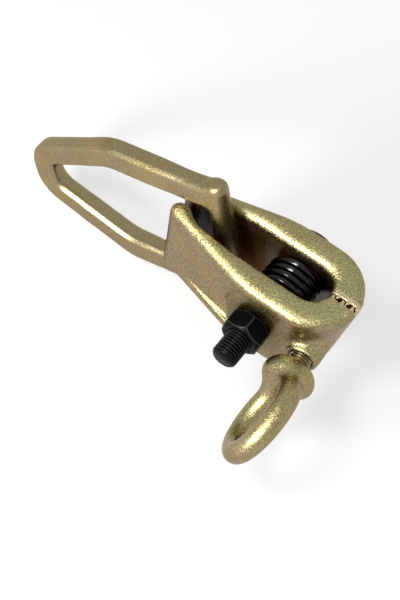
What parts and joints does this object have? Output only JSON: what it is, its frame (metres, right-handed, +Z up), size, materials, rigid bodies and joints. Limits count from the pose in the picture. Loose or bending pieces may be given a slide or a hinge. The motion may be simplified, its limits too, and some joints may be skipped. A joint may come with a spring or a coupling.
{
  "type": "self-tightening sheet metal pull clamp",
  "caption": "Forged pull clamp with two toothed jaws on a sprung cross bolt, a long pull ring around their noses and an eye bolt in one side.",
  "frame": {"origin": "middle of the toothed bite, on the line where the two jaws meet, half way up the jaws", "axes": "+X out of the mouth of the jaws, away from the pull ring; +Y along the cross bolt from the nut to the head; +Z up the height of the teeth"},
  "size_m": [0.234, 0.1432, 0.1172],
  "materials": {
    "yellow_zinc_forging": "forged steel, grit blasted and yellow zinc plated, slightly grainy with a soft sheen",
    "yellow_zinc_ring": "forged steel ring, yellow zinc plated, smooth bevelled edges",
    "yellow_zinc_eye": "forged eye bolt, yellow zinc plated, bright",
    "black_oxide_steel": "black oxide, oiled, with sharp highlights",
    "black_spring_steel": "round spring wire, blackened"
  },
  "bodies": {
    "near_jaw": {"near_jaw": "yellow_zinc_forging", "jaw_spring": "black_spring_steel"},
    "bolt": {"jaw_bolt": "black_oxide_steel"},
    "nut": {"jaw_nut": "black_oxide_steel"},
    "far_jaw": {"far_jaw": "yellow_zinc_forging"},
    "eye_bolt": {"eye_bolt": "yellow_zinc_eye"},
    "pull_ring": {"pull_ring": "yellow_zinc_ring"}
  },
  "joints": [
    {"name": "bolt_slide", "type": "slide", "parent": "near_jaw", "child": "bolt", "axis": [0, 1, 0], "range_m": [0, 0.012], "deforming": ["jaw_spring"]},
    {"name": "nut_turn", "type": "hinge", "parent": "near_jaw", "child": "nut", "pos_m": [-0.039, -0.0365, 0], "axis": [0, 1, 0], "range_deg": [0, 2160]},
    {"name": "jaw_rock", "type": "hinge", "parent": "bolt", "child": "far_jaw", "pos_m": [-0.039, 0.02855, 0], "axis": [0, 0, 1], "range_deg": [0, 1.8]},
    {"name": "ring_tilt", "type": "hinge", "parent": "near_jaw", "child": "pull_ring", "pos_m": [-0.108, 0, 0], "axis": [0, 1, 0], "range_deg": [-24, 50]},
    {"name": "eye_turn", "type": "hinge", "parent": "near_jaw", "child": "eye_bolt", "pos_m": [-0.0047, -0.031, -0.0015], "axis": [-0.0872, 0.9962, 0], "continuous": true}
  ],
  "couplings": [
    {"joint": "nut_turn", "follows": "bolt_slide", "rad_per_m": 3141.6}
  ]
}
